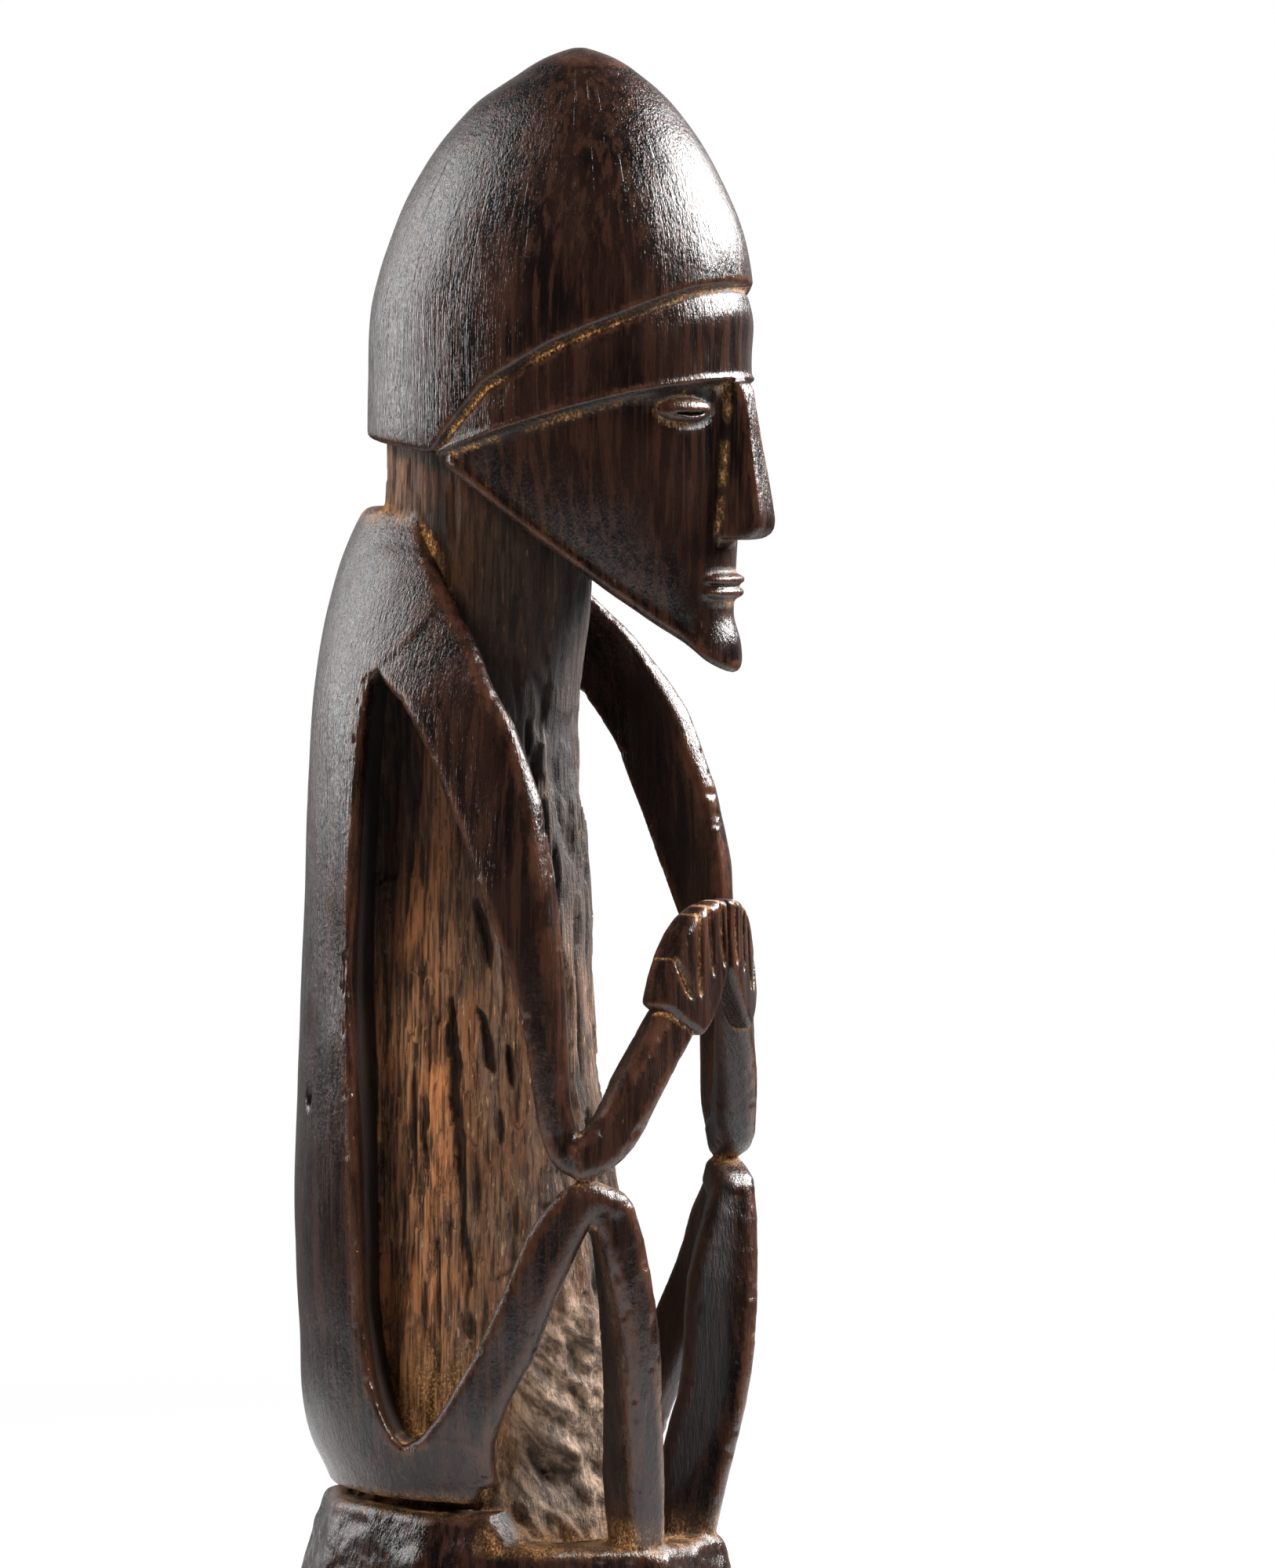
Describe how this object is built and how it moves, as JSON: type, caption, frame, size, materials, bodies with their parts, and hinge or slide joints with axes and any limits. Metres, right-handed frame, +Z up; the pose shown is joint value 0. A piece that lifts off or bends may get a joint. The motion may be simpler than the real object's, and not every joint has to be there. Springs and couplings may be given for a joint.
{
  "type": "carved wooden ancestor figure",
  "caption": "Seated figure carved from one log, knees drawn up, elbows on knees and hands joined, with a tall pointed head, on a low adzed base.",
  "frame": {"origin": "middle of the base's flat underside", "axes": "+Z up, the figure faces -Y, its right side is at -X"},
  "size_m": [0.102, 0.1317, 0.422],
  "materials": {
    "dark_polished_wood": "dark brown hardwood polished by handling",
    "raw_carved_wood": "rough tool-marked brown wood, dusty in the hollows",
    "base_wood": "dark brown adzed wood, worn on the facets"
  },
  "bodies": {
    "root": {"base_plinth": "base_wood", "belly": "raw_carved_wood", "chest": "raw_carved_wood", "neck": "raw_carved_wood", "back_panel": "dark_polished_wood", "hips": "dark_polished_wood", "shoulders": "dark_polished_wood", "right_upper_arm": "dark_polished_wood", "left_upper_arm": "dark_polished_wood", "right_forearm": "dark_polished_wood", "left_forearm": "dark_polished_wood", "right_hand": "dark_polished_wood", "left_hand": "dark_polished_wood", "right_thigh": "dark_polished_wood", "left_thigh": "dark_polished_wood", "right_shin": "dark_polished_wood", "left_shin": "dark_polished_wood", "coiffure": "dark_polished_wood", "brow_band": "dark_polished_wood", "face": "dark_polished_wood", "nose": "dark_polished_wood", "right_eyelid": "dark_polished_wood", "left_eyelid": "dark_polished_wood", "lips": "dark_polished_wood"}
  },
  "joints": []
}
